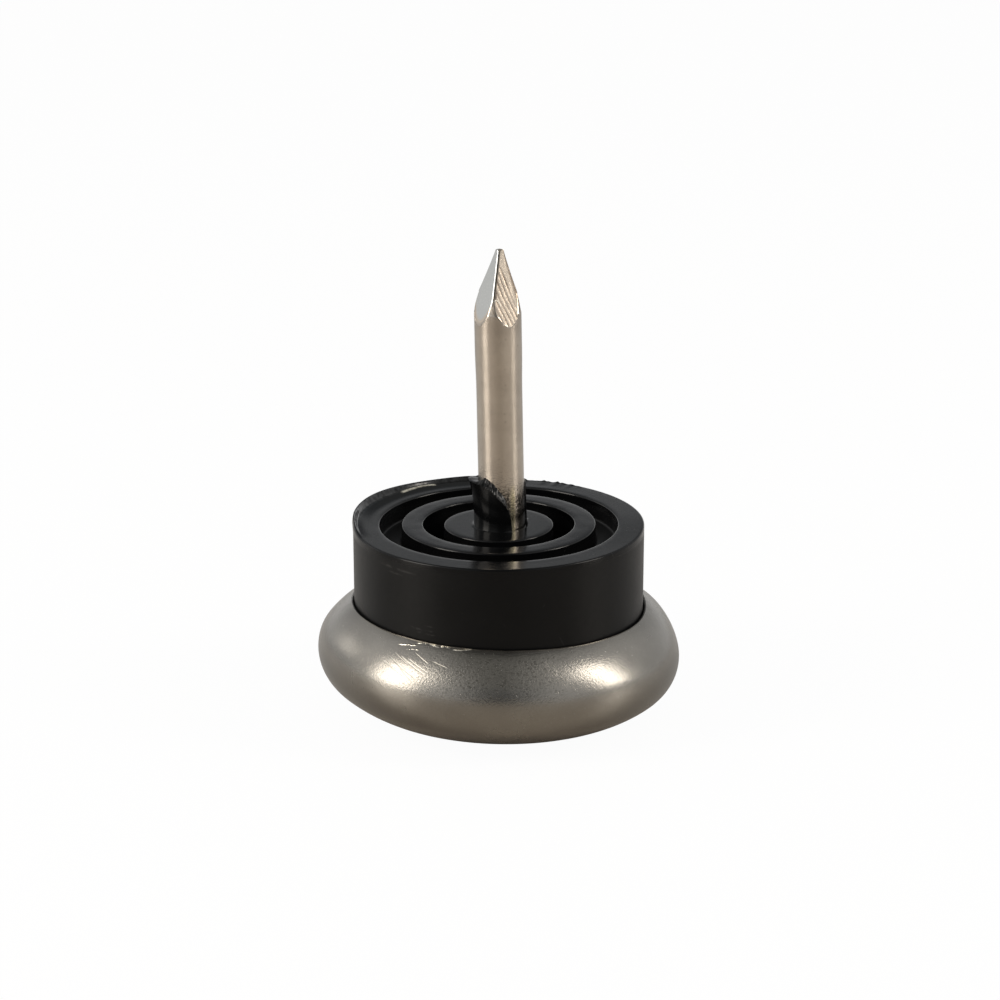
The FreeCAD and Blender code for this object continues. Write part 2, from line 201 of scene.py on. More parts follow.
# Colours
STEEL_DARK = (0.232, 0.219, 0.198, 1)
STEEL_LIGHT = (0.272, 0.259, 0.234, 1)
STEEL_FOOT_SHADE = (0.19, 0.135, 0.11, 1)
STEEL_GRAIN = (0.16, 0.15, 0.135, 1)
STEEL_PIT = (0.08, 0.075, 0.06, 1)
STEEL_SCRATCH_AND_GLINT = (0.85, 0.8, 0.68, 1)
BLACK_DEEP = (0.0012, 0.0013, 0.0015, 1)
BLACK_SOFT = (0.0032, 0.0034, 0.0036, 1)
PLASTIC_DUSTY = (0.09, 0.088, 0.085, 1)
PLASTIC_GLINT = (0.75, 0.73, 0.62, 1)
NAIL_DARK = (0.42, 0.375, 0.325, 1)
NAIL_LIGHT = (0.50, 0.45, 0.39, 1)
NAIL_SPECK = (0.2, 0.17, 0.14, 1)
NAIL_CUT_LAMP_WARMED = (0.60, 0.515, 0.42, 1)
NAIL_CUT = (0.56, 0.56, 0.54, 1)
NAIL_GROOVE_SHADE = (0.21, 0.16, 0.12, 1)
NAIL_HOLLOW_SHADE = (0.12, 0.085, 0.07, 1)
NAIL_FOLD_GLINT = (0.95, 0.88, 0.74, 1)
NAIL_PAINTED_HIGHLIGHT = (0.95, 0.84, 0.52, 1)
NAIL_INSERT_REFLECTION = (0.02, 0.017, 0.014, 1)
WHITE = (1, 1, 1, 1)
ROOM_DIM = (0.135, 0.145, 0.155, 1)
ROOM_CEILING = (0.24, 0.24, 0.23, 1)
ROOM_LIGHT = (0.5, 0.5, 0.5, 1)
FLOOR_SHADED_LEFT = (0.485, 0.438, 0.382, 1)
FLOOR_SHADED_RIGHT = (0.56, 0.508, 0.443, 1)
FLOOR_LIT_BACK = (0.605, 0.59, 0.572, 1)
FLOOR_SEEN = (0.92, 0.92, 0.92, 1)
LAMP_WARM = (1.0, 0.94, 0.86)
SCREEN_WARM = (1.0, 0.96, 0.9)


# Shapes

def between(x, low, high):
    """0 below low, 1 above high, smooth in between."""
    t = min(1.0, max(0.0, (x - low) / (high - low)))
    return t * t * (3 - 2 * t)


def within(x, start, end):
    """Comes in over one stretch of x, from 0 to 1, and fades out over a later one."""
    return between(x, *start) * (1 - between(x, *end))


def ragged(angle, height, scale, seed):
    """Smooth random value from -1 to 1 on the surface of a round piece."""
    place = Vector((math.cos(angle) * scale, math.sin(angle) * scale, height + seed))
    return noise.noise(place)


def even_angles(count, start=0.0):
    return [math.radians(start) + math.tau * i / count for i in range(count)]


def arc_points(centre, radius, start, end, count):
    """Points on an arc from one angle to another, in radians, ends included."""
    steps = [start + (end - start) * i / count for i in range(count + 1)]
    return [(centre[0] + radius * math.cos(a), centre[1] + radius * math.sin(a)) for a in steps]


def rounded_path(corners, steps, longest):
    """A closed half section with rounded corners. Each corner is (radius, height, rounding)."""
    path = []
    count = len(corners)
    for i, (r, z, rounding) in enumerate(corners):
        here = Vector((r, z))
        before = Vector(corners[i - 1][:2]) - here
        after = Vector(corners[(i + 1) % count][:2]) - here
        if rounding:
            half = before.angle(after) / 2
            cut = rounding / math.tan(half)
            enter = here + before.normalized() * cut
            leave = here + after.normalized() * cut
            for k in range(steps + 1):
                t = k / steps
                path.append(tuple(enter * (1 - t) ** 2 + here * (2 * t * (1 - t)) + leave * t ** 2))
        else:
            path.append(tuple(here))
    filled = []
    for i, point in enumerate(path):
        filled.append(point)
        step = Vector(path[(i + 1) % len(path)]) - Vector(point)
        parts = max(1, math.ceil(step.length / longest))
        filled += [tuple(Vector(point) + step * (k / parts)) for k in range(1, parts)]
    return filled


def settle(x, y, z):
    """Move a point of the true shape to where it is on this slightly uneven glide. The
    underside stays flat on the floor."""
    off_floor = z / (z + 0.25) if z > 0 else 0.0
    back = between(y, *CAP_BACK) * between(z, *CAP_BACK_HEIGHT)
    slant = CAP_BACK_RISE * back - CAP_SLANT * x * (1 - CAP_BACK_STRAIGHT * back)
    slant *= off_floor * (1 - between(z, *SLANT_END))
    aside = NAIL_ASIDE * min(1.0, max(0.0, (z - HEAD_TOP) / (LEAN_START - HEAD_TOP)))
    aside -= NAIL_LEAN * max(0.0, z - LEAN_START)
    aside += TIP_ASIDE * max(0.0, (z - TIP_BEND_START) / (TIP_HEIGHT - TIP_BEND_START))
    r = math.hypot(x, y)
    aside *= 1 - between(r, *NEAR_NAIL)
    top = BACK_RIGHT_RISE * between(x, *TOP_RIGHT) * between(y, *TOP_BACK)
    top += TOP_RISE + TOP_PITCH * y
    top *= between(z, *TOP_START) * between(r, *OFF_NAIL)
    return x + aside, y, z + slant + top


def turned_mesh(name, section, angles, bend, closed=True):
    """Turn a half section, in millimetres, about the upright axis. A point at zero radius
    becomes one vertex. bend(angle, radius, height, row) gives each point's radius, height
    and two values from 0 to 1 for the finishes: how cut or torn it is, and how deep it is
    in a groove."""
    verts = []
    marks = []
    grooves = []
    rows = []
    for row, (r, z) in enumerate(section):
        if r < 1e-9:
            rows.append([len(verts)] * len(angles))
            verts.append(Vector(settle(0.0, 0.0, z)) * MM)
            marks.append(0.0)
            grooves.append(0.0)
            continue
        rows.append(list(range(len(verts), len(verts) + len(angles))))
        for angle in angles:
            bent_r, bent_z, mark, groove = bend(angle, r, z, row)
            place = settle(bent_r * math.cos(angle), bent_r * math.sin(angle), bent_z)
            verts.append(Vector(place) * MM)
            marks.append(mark)
            grooves.append(groove)
    faces = []
    pairs = list(zip(rows, rows[1:]))
    if closed:
        pairs.append((rows[-1], rows[0]))
    for low, high in pairs:
        for i in range(len(angles)):
            k = (i + 1) % len(angles)
            ring = [low[i], low[k], high[k], high[i]]
            corners = [v for n, v in enumerate(ring) if v not in ring[:n]]
            if len(corners) > 2:
                faces.append(corners)
    mesh = bpy.data.meshes.new(name)
    mesh.from_pydata(verts, [], faces)
    mesh.validate()
    mesh.attributes.new("mark", "FLOAT", "POINT").data.foreach_set("value", marks)
    mesh.attributes.new("groove", "FLOAT", "POINT").data.foreach_set("value", grooves)
    return mesh


def add_piece(name, mesh, material, node, sharp):
    """Put a mesh in the scene in place of a solid. Edges over sharp degrees stay crisp."""
    mesh.materials.append(material)
    mesh.shade_smooth()
    mesh.set_sharp_from_angle(angle=math.radians(sharp))
    piece = bpy.data.objects.new(name, mesh)
    bpy.context.scene.collection.objects.link(piece)
    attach(piece, BODY)
    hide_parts(node)
    return piece


# Steel cap

def cap_section():
    belly = (CAP_RADIUS - BELLY_RADIUS, BELLY_HEIGHT)
    across = belly[0] - FLOOR_RADIUS
    heel_rise = BELLY_HEIGHT - BELLY_RADIUS
    heel_radius = (across ** 2 + BELLY_HEIGHT ** 2 - BELLY_RADIUS ** 2) / (2 * heel_rise)
    heel = (FLOOR_RADIUS, heel_radius)
    heel_angle = math.atan2(BELLY_HEIGHT - heel_radius, across)
    crown = (CAP_RADIUS - CROWN_RADIUS, BELLY_HEIGHT)
    back = SHOULDER_RADIUS - CROWN_RADIUS
    shoulder = (crown[0] - back * math.cos(CROWN_ANGLE), crown[1] - back * math.sin(CROWN_ANGLE))
    lip = CAP_RADIUS - LIP_REACH
    down = -math.pi / 2

    def lip_angle(radius, reach):
        return math.acos((reach - shoulder[0]) / radius)

    outer_end = lip_angle(SHOULDER_RADIUS, lip + LIP_ROUND)
    inner_radius = SHOULDER_RADIUS - CAP_WALL
    inner_end = lip_angle(inner_radius, lip)
    lip_centre = (
        shoulder[0] + (SHOULDER_RADIUS - LIP_ROUND) * math.cos(outer_end),
        shoulder[1] + (SHOULDER_RADIUS - LIP_ROUND) * math.sin(outer_end),
    )
    lip_shift = lip + LIP_ROUND - lip_centre[0]
    lip_centre = (lip + LIP_ROUND, lip_centre[1] + lip_shift * 0.5)

    section = [(0.0, 0.0), (2.0, 0.0), (4.0, 0.0)]
    section += arc_points(heel, heel_radius, down, heel_angle, 14)
    section += arc_points(belly, BELLY_RADIUS, heel_angle, 0.0, 12)[1:]
    section += arc_points(crown, CROWN_RADIUS, 0.0, CROWN_ANGLE, 8)[1:]
    section += arc_points(shoulder, SHOULDER_RADIUS, CROWN_ANGLE, outer_end, 12)[1:]
    section += arc_points(lip_centre, LIP_ROUND, outer_end, math.pi, 6)[1:]
    section += arc_points(shoulder, inner_radius, inner_end, CROWN_ANGLE, 6)
    section += arc_points(crown, CROWN_RADIUS - CAP_WALL, CROWN_ANGLE, 0.0, 5)[1:]
    section += arc_points(belly, BELLY_RADIUS - CAP_WALL, 0.0, heel_angle, 6)[1:]
    section += arc_points(heel, heel_radius - CAP_WALL, heel_angle, down, 6)[1:]
    section += [(0.0, CAP_WALL)]
    return section


def press(angle, r, z, row):
    """Pressing leaves the bulge very slightly out of round and the lip a little wavy."""
    bulge = OUT_OF_ROUND * ragged(angle, z * 0.1, 1.3, 4.0) * between(r, *BULGE_START)
    lip = LIP_WAVE * ragged(angle, 0.0, 9.0, 11.0) * between(z, *LIP_START)
    return r + bulge, z + lip, 0.0, 0.0


def make_cap(material):
    mesh = turned_mesh("cap_shell", cap_section(), even_angles(320), press, closed=False)
    return add_piece("cap_shell", mesh, material, "glide_cap", sharp=70.0)


# Black insert

def sleeve_rim(degrees):
    """Height of the sleeve's outer rim above the hub."""
    for (start, low), (end, high) in zip(SLEEVE_RIM, SLEEVE_RIM[1:]):
        if start <= degrees < end:
            return low + (high - low) * (degrees - start) / (end - start)
    return 0.0


def tear_sleeve(angle, r, z, row, crest):
    """Bring a point of the full sleeve down to the rim that is left there. The section's
    rows from crest on are the rim itself."""
    degrees = math.degrees(angle) % 360
    rim = sleeve_rim(degrees)
    flare = within(degrees, FLARE_START, FLARE_END)
    jag = 0.07 * ragged(angle, 0.0, 22.0, 7.0) + 0.05 * ragged(angle, 0.0, 60.0, 3.0)
    left = max(0.0, rim + jag * between(rim, 0.0, 0.6) * (1 - flare)) / SLEEVE_HEIGHT
    torn = within(degrees, TORN_START, TORN_END)
    if left < 0.001:
        return r, HUB_TOP, 0.0, 0.0
    if row <= crest + 1:
        r += FLARE_REACH * flare * ((z - HUB_TOP) / SLEEVE_HEIGHT) ** 3
    z = HUB_TOP + (z - HUB_TOP) * (left + 0.05 * flare)
    if row > crest:
        z += torn * (TORN_RISE * (row - crest) + 0.05 * ragged(angle, row, 40.0, 2.0))
    return r, z, torn if row >= crest else 0.0, 0.0


def burr(degrees):
    """Height of the raised burr on the outer ring's edge."""
    turn = math.radians(degrees)
    grown = BURR_LOW + (BURR_HEIGHT - BURR_LOW) * between(degrees, *BURR_GROWS)
    crumbs = max(0.0, ragged(turn, 0.0, 30.0, 6.0)) + max(0.0, ragged(turn, 0.0, 70.0, 8.0))
    smooth = grown * within(degrees, BURR_START, BURR_END)
    return smooth + CRUMB_HEIGHT * crumbs * within(degrees, CRUMBS_START, CRUMBS_END)


def raise_burr(angle, r, z):
    """Draw the outer ring's top edge up into a thin lip, and a little outwards."""
    rise = burr(math.degrees(angle) % 360)
    near_edge = 0.28 * between(r, BURR_INSIDE, 9.3) + 0.72 * between(r, 9.26, 9.5)
    drop = 1 - 0.4 * between(r, 9.54, BARREL_TOP_RADIUS)
    outwards = BURR_OVERHANG * near_edge * rise / BURR_HEIGHT
    return r + outwards, z + rise * near_edge * drop, 0.0, 0.0


def insert_angles():
    """Even steps round the insert, with extra ones where the sleeve is torn."""
    degrees = [1.0 * i for i in range(360)]
    degrees += [TEAR_BEHIND + 0.25 * i for i in range(20)]
    degrees += [TEAR_IN_FRONT + 0.25 * i for i in range(60)]
    return [math.radians(d) for d in sorted(set(degrees))]


def make_insert(material):
    # the ring's top has close points where the burr rises, and wider ones inside it
    burr_rows = [BARREL_TOP_RADIUS - 0.16 - 0.04 * i for i in range(6)]
    burr_rows += [BARREL_TOP_RADIUS - 0.50 - 0.15 * i for i in range(5)]
    outline = [
        (POCKET_RADIUS, CAP_WALL, 0), (SEAT_RADIUS, CAP_WALL, 0), (FLANGE_RADIUS, FLANGE_LOW, 0),
        (FLANGE_RADIUS, FLANGE_HIGH, 0), (BARREL_RADIUS, FLANGE_HIGH, 0),
        (BARREL_TOP_RADIUS, RING_TOP, EDGE_ROUND),
    ]
    outline += [(r, RING_TOP, 0) for r in burr_rows]
    outline += [
        (OUTER_RING_INSIDE, RING_TOP, EDGE_ROUND),
        (OUTER_RING_INSIDE, OUTER_GROOVE_FLOOR, GROOVE_ROUND),
        (MIDDLE_RING[1], OUTER_GROOVE_FLOOR, GROOVE_ROUND), (MIDDLE_RING[1], RING_TOP, EDGE_ROUND),
        (MIDDLE_RING[0], RING_TOP, EDGE_ROUND), (MIDDLE_RING[0], INNER_GROOVE_FLOOR, GROOVE_ROUND),
        (HUB_RADIUS, INNER_GROOVE_FLOOR, GROOVE_ROUND), (HUB_RADIUS, HUB_TOP, EDGE_ROUND),
        (SLEEVE_RADIUS + 0.25, HUB_TOP, 0), (SLEEVE_RADIUS + 0.1, HUB_TOP, 0),
    ]
    section = rounded_path(outline, steps=5, longest=0.45)
    # the side that closes the outline gives way to the sleeve, the bore and the pocket
    foot = max(i for i, p in enumerate(section) if abs(p[1] - HUB_TOP) < 1e-6)
    section = section[:foot + 1]
    first_rise = len(section)
    rise_steps = 16
    section.append((SLEEVE_RADIUS + 0.03, HUB_TOP + 0.03))
    for k in range(1, rise_steps + 1):
        rise = SLEEVE_FOOT + (SLEEVE_HEIGHT - SLEEVE_FOOT) * k / rise_steps
        section.append((SLEEVE_RADIUS, HUB_TOP + rise))
    crest = len(section)
    rim_top = HUB_TOP + SLEEVE_HEIGHT
    section += [(SLEEVE_RADIUS - 0.08, rim_top + 0.01), (BORE_RADIUS + 0.10, rim_top + 0.02)]
    section += [(BORE_RADIUS, rim_top), (BORE_RADIUS, LEAN_START)]
    section += [(BORE_RADIUS, POCKET_ROOF), (POCKET_RADIUS, POCKET_ROOF)]

    def shape(angle, r, z, row):
        if first_rise <= row <= crest + 2:
            return tear_sleeve(angle, r, z, row, crest)
        if z > RING_TOP - 0.2 and r > BURR_INSIDE:
            return raise_burr(angle, r, z)
        # moulded edges are never quite true
        if z > RING_TOP - 0.15 and r > HUB_RADIUS + 1.0:
            z += EDGE_WAVE / 2 * ragged(angle, r, 5.0, 1.0)
            r += EDGE_WAVE * ragged(angle, r, 11.0, 5.0)
        return r, z, 0.0, 0.0

    mesh = turned_mesh("insert_moulding", section, insert_angles(), shape)
    return add_piece("insert_moulding", mesh, material, "cushion_insert",
                     sharp=60.0)


# Nail

def flat_distance(z):
    """Distance of the point's flats from the axis at a height: they bulge a little."""
    down = max(0.0, (TIP_HEIGHT - z) / (TIP_HEIGHT - POINT_BASE))
    return TIP_HALF_WIDTH + (SWELL_RADIUS - TIP_HALF_WIDTH) * down ** 1.1


def corner_radius(z):
    """Radius at which the corners between the flats are worn round above the shank."""
    if z >= CORNER_END:
        return 2 * SWELL_RADIUS
    up = min(1.0, max(0.0, (z - CORNER_START) / (CORNER_END - CORNER_START)))
    return SWELL_RADIUS - (SWELL_RADIUS - CORNER_RADIUS) * up ** 1.6


def shank_radius(angle, z):
    swell = (SWELL_RADIUS - NAIL_RADIUS) * between(z, SWELL_START, SWELL_FULL)
    return NAIL_RADIUS + swell + 0.004 * ragged(angle, z * 0.3, 2.0, 9.0)


def shear_groove(across, z, seed):
    """How deep a point is in the steep grooves that the cutter left on a flat, from 0 to 1.
    They end short of one edge of the flat and of its top."""
    wander = 0.5 * noise.noise(Vector((across * 1.5, z * 0.5, 3.0)))
    place = (across + 0.33 * z) / GROOVE_SPACING + seed + wander
    wave = (0.5 - 0.5 * math.cos(math.tau * place)) ** 1.5
    strength = 0.8 + 0.6 * noise.noise(Vector((math.floor(place) * 1.7, z * 0.7, 1.0)))
    left = between(flat_distance(z) - across, 0.38, 0.62) * between(TIP_HEIGHT - z, 0.5, 1.3)
    return wave * strength * left


def soft_least(a, b, width):
    """The lesser of two values, with the corner between them rounded."""
    near = max(0.0, 1 - abs(a - b) / width)
    return min(a, b) - width * near ** 2 / 4


def ridge_radius(degrees, z):
    """The two narrow faces that are worn along the front ridge, where the flats meet."""
    corner = flat_distance(z) * math.sqrt(2)
    limit = 2 * SWELL_RADIUS
    for facing, worn in RIDGE_FACES:
        turn = math.cos(math.radians(degrees - facing))
        if turn > 0.3:
            ahead = corner * math.cos(math.radians(facing - FLAT_ANGLE - 225.0))
            limit = min(limit, (ahead - worn) / turn)
    return limit


def tip_bevel(degrees, z):
    """A small slanting face across the front of the blunt tip."""
    turn = math.cos(math.radians(degrees - TIP_BEVEL_FACING))
    return (TIP_HEIGHT + 0.08 - z) / turn if turn > 0.1 else 2 * SWELL_RADIUS


def cut_point(degrees, z, shank):
    """The four-sided point: its radius, how cut it is, and how deep it is in a groove or
    how close to the edge between the right flat and the one behind it; the finish darkens both."""
    turn = (degrees - FLAT_ANGLE + 45.0) % 90.0 - 45.0
    flat_number = round((degrees - FLAT_ANGLE - turn) / 90.0) % 4
    distance = flat_distance(z)
    groove = 0.0
    soft = FOLD_WIDTH
    cut_depth = 0.06
    if flat_number == LEFT_FLAT:
        soft += FOLD_WIDTH * (1 - between(z, *LEFT_FOLD_END))
        cut_depth = 0.2
    else:
        across = distance * math.tan(math.radians(turn))
        strength = 1.0 if flat_number == RIGHT_FLAT else 0.6
        groove = strength * shear_groove(across, z, 0.3 * flat_number)
    flat = distance / math.cos(math.radians(turn)) - GROOVE_DEPTH * groove
    blunt = 0.6 * TIP_HALF_WIDTH + 0.75 * math.sqrt(max(0.0, TIP_HEIGHT - z))
    radius = soft_least(min(shank, corner_radius(z), blunt, tip_bevel(degrees, z)), flat, soft)
    radius = soft_least(radius, ridge_radius(degrees, z), 0.02)
    cut = between(shank - radius, 0.0, cut_depth)
    to_edge = {RIGHT_FLAT: turn, RIGHT_BACK_FLAT: -turn}.get(flat_number, 0.0)
    dark_edge = 0.9 * between(to_edge, *EDGE_DARK_START)
    # the right flat stops at half, in the warmer cut colour: a painted tint of the warm lamp it
    # faces
    mark = cut * (0.5 if flat_number == RIGHT_FLAT else 1.0)
    return radius, mark, cut * max(groove, dark_edge)


def make_nail(material):
    low = POINT_BASE - 0.7
    fine = 170
    heights = [HEAD_TOP, LEAN_START, 13.0, 16.0, 19.0]
    heights += [SWELL_START - 1.0 + 0.5 * i for i in range(9)]
    heights += [low + (TIP_HEIGHT - low) * i / fine for i in range(fine + 1)]
    section = [(0.0, CAP_WALL), (HEAD_RADIUS, CAP_WALL), (HEAD_RADIUS, HEAD_TOP)]
    first = len(section)
    section += [(NAIL_RADIUS, z) for z in heights]
    last = len(section) - 1
    section += [(TIP_HALF_WIDTH * 0.5, TIP_HEIGHT), (0.0, TIP_HEIGHT)]

    def shape(angle, r, z, row):
        if row < first or row > last:
            return r, z, 0.0, 0.0
        shank = shank_radius(angle, z)
        if z < POINT_BASE - 0.3:
            return shank, z, 0.0, 0.0
        radius, mark, groove = cut_point(math.degrees(angle), z, shank)
        return radius, z, mark, groove

    mesh = turned_mesh("nail", section, even_angles(192, FLAT_ANGLE + 45.0), shape, closed=False)
    return add_piece("nail_body", mesh, material, "nail", sharp=24.0)


# Nodes for the finishes

def add_node(tree, kind, inputs=None, **settings):
    """Add one node. inputs are its sockets by name or number: a value, or a socket to link."""
    made = tree.nodes.new(kind)
    for key, value in settings.items():
        setattr(made, key, value)
    for key, value in (inputs or {}).items():
        socket = made.inputs[key]
        if isinstance(value, bpy.types.NodeSocket):
            tree.links.new(value, socket)
        else:
            socket.default_value = value
    return made


def maths(tree, operation, a, b=0.0):
    return add_node(tree, "ShaderNodeMath", {0: a, 1: b}, operation=operation).outputs[0]


def times(tree, first, *others):
    for other in others:
        first = maths(tree, "MULTIPLY", first, other)
    return first


def plus(tree, a, b):
    return maths(tree, "ADD", a, b)


def minus(tree, a, b):
    return maths(tree, "SUBTRACT", a, b)


def most(tree, first, *others):
    """The greatest of some values."""
    for other in others:
        first = maths(tree, "MAXIMUM", first, other)
    return first


def remap(tree, value, low, high, to_low=0.0, to_high=1.0):
    """Bring a value from one range to another, held at the ends."""
    sockets = {"Value": value, "From Min": low, "From Max": high}
    sockets.update({"To Min": to_low, "To Max": to_high})
    return add_node(tree, "ShaderNodeMapRange", sockets).outputs[0]


def blend_colour(tree, factor, first, second):
    """The first colour where the factor is 0, the second where it is 1."""
    made = add_node(tree, "ShaderNodeMix", {0: factor, 6: first, 7: second}, data_type="RGBA")
    return made.outputs[2]


def vectors(tree, operation, a, b=(0.0, 0.0, 0.0), output=0):
    made = add_node(tree, "ShaderNodeVectorMath", {0: a, 1: b}, operation=operation)
    return made.outputs[output]


def split(tree, place):
    """The x, y and z of a place."""
    return list(add_node(tree, "ShaderNodeSeparateXYZ", {0: place}).outputs)


def noise_value(tree, place, scale, detail=2.0, roughness=0.5):
    sockets = {"Vector": place, "Scale": scale, "Detail": detail, "Roughness": roughness}
    return add_node(tree, "ShaderNodeTexNoise", sockets).outputs[0]


def stretched(tree, place, scale, turn=(0.0, 0.0, 0.0)):
    """Turn a place, then stretch it, so that a texture becomes streaks."""
    turned = add_node(tree, "ShaderNodeMapping", {"Vector": place, "Rotation": turn}).outputs[0]
    return add_node(tree, "ShaderNodeMapping", {"Vector": turned, "Scale": scale}).outputs[0]


def new_group(name, places, values, outputs):
    """Start a node group with its place inputs, value inputs and value outputs."""
    tree = bpy.data.node_groups.new(name, "ShaderNodeTree")
    for label in places:
        tree.interface.new_socket(name=label, in_out="INPUT", socket_type="NodeSocketVector")
    for label in values:
        tree.interface.new_socket(name=label, in_out="INPUT", socket_type="NodeSocketFloat")
    for label in outputs:
        tree.interface.new_socket(name=label, in_out="OUTPUT", socket_type="NodeSocketFloat")
    given = tree.nodes.new("NodeGroupInput").outputs
    out = tree.nodes.new("NodeGroupOutput").inputs
    return tree, given, out


def use_group(tree, group, **inputs):
    """Place a group with its own values. Gives its only output, or a list of them."""
    sockets = {key.replace("_", " "): value for key, value in inputs.items()}
    made = add_node(tree, "ShaderNodeGroup", sockets, node_tree=group)
    return made.outputs[0] if len(made.outputs) == 1 else list(made.outputs)


def make_grain_group():
    """Fine even grain, from 0 to 1."""
    tree, given, out = new_group("fine_grain", ["Place"], ["Scale"], ["Grain"])
    small = noise_value(tree, given["Place"], given["Scale"], 3.0, 0.6)
    tree.links.new(remap(tree, small, 0.3, 0.7), out["Grain"])
    return tree


def make_streak_group():
    """Sparse fine streaks in three directions. Share is how much of the surface they take."""
    tree, given, out = new_group("fine_streaks", ["Place"], ["Scale", "Share"], ["Streaks"])
    limit = minus(tree, 0.8, given["Share"])
    full = plus(tree, limit, 0.05)
    found = []
    for turn in ((0.3, 0.7, 0.5), (1.2, -0.5, 2.1), (-0.8, 0.4, 1.3)):
        place = stretched(tree, given["Place"], (0.05, 1.0, 1.0), turn)
        found.append(remap(tree, noise_value(tree, place, given["Scale"], 1.0), limit, full))
    tree.links.new(most(tree, *found), out["Streaks"])
    return tree


def make_speck_group():
    """Sparse small round specks."""
    tree, given, out = new_group("sparse_specks", ["Place"], ["Scale", "Amount"], ["Specks"])
    sockets = {"Vector": given["Place"], "Scale": given["Scale"]}
    cells = add_node(tree, "ShaderNodeTexVoronoi", sockets).outputs
    dot = remap(tree, cells["Distance"], 0.12, 0.24, 1.0, 0.0)
    pick = add_node(tree, "ShaderNodeSeparateColor", {"Color": cells["Color"]}).outputs[0]
    chosen = maths(tree, "LESS_THAN", pick, given["Amount"])
    tree.links.new(times(tree, dot, chosen), out["Specks"])
    return tree


def make_unroll_group():
    """Where a place is on a round piece, in millimetres: Around, from the front towards +X,
    and Up."""
    tree, given, out = new_group("unroll", ["Place"], ["Radius"], ["Around", "Up"])
    x, y, z = split(tree, given["Place"])
    turn = maths(tree, "ARCTAN2", x, times(tree, y, -1.0))
    tree.links.new(times(tree, turn, given["Radius"]), out["Around"])
    tree.links.new(times(tree, z, 1 / MM), out["Up"])
    return tree


def make_stroke_group():
    """A thin straight scratch between two spots of an unrolled surface."""
    labels = ["Around", "Up", "From Around", "From Up", "To Around", "To Up", "Width"]
    tree, given, out = new_group("stroke", [], labels, ["Stroke"])

    def spot(around, up):
        return add_node(tree, "ShaderNodeCombineXYZ", {0: given[around], 1: given[up]}).outputs[0]

    start = spot("From Around", "From Up")
    run = vectors(tree, "SUBTRACT", spot("To Around", "To Up"), start)
    here = vectors(tree, "SUBTRACT", spot("Around", "Up"), start)
    reached = vectors(tree, "DOT_PRODUCT", here, run, "Value")
    along = maths(tree, "DIVIDE", reached, vectors(tree, "DOT_PRODUCT", run, run, "Value"))
    along = remap(tree, along, 0.0, 1.0)
    scaled = add_node(tree, "ShaderNodeVectorMath", {0: run, "Scale": along}, operation="SCALE")
    gap = vectors(tree, "DISTANCE", here, scaled.outputs[0], "Value")
    line = remap(tree, maths(tree, "DIVIDE", gap, given["Width"]), 0.2, 1.0, 1.0, 0.0)
    ends = times(tree, along, minus(tree, 1.0, along))
    tree.links.new(times(tree, line, remap(tree, ends, -0.02, 0.14)), out["Stroke"])
    return tree


GRAIN = make_grain_group()
STREAKS = make_streak_group()
SPECKS = make_speck_group()
UNROLL = make_unroll_group()
STROKE = make_stroke_group()


def strokes(tree, around, up, marks):
    """All strokes of a list together."""
    found = []
    for from_around, from_up, to_around, to_up, width in marks:
        found.append(use_group(
            tree, STROKE, Around=around, Up=up, From_Around=from_around, From_Up=from_up,
            To_Around=to_around, To_Up=to_up, Width=width))
    return most(tree, *found)


def new_finish(name, **constants):
    """A material with its own Principled shader. constants are that shader's plain sockets."""
    material = bpy.data.materials.new(name)
    material.use_nodes = True
    tree = material.node_tree
    tree.nodes.clear()
    sockets = {key.replace("_", " "): value for key, value in constants.items()}
    shader = add_node(tree, "ShaderNodeBsdfPrincipled", sockets)
    add_node(tree, "ShaderNodeOutputMaterial", {"Surface": shader.outputs[0]})
    place = add_node(tree, "ShaderNodeTexCoord").outputs["Object"]
    return material, tree, shader, place


def stored(tree, name):
    """A value that the mesh holds for each of its points."""
    return add_node(tree, "ShaderNodeAttribute", attribute_name=name).outputs["Fac"]


def lift(tree, shader, height, distance):
    """Bump the surface by a height from 0 to 1 times a distance in metres."""
    sockets = {"Height": height, "Distance": distance, "Strength": 1.0}
    bump = add_node(tree, "ShaderNodeBump", sockets)
    tree.links.new(bump.outputs[0], shader.inputs["Normal"])


# Finishes

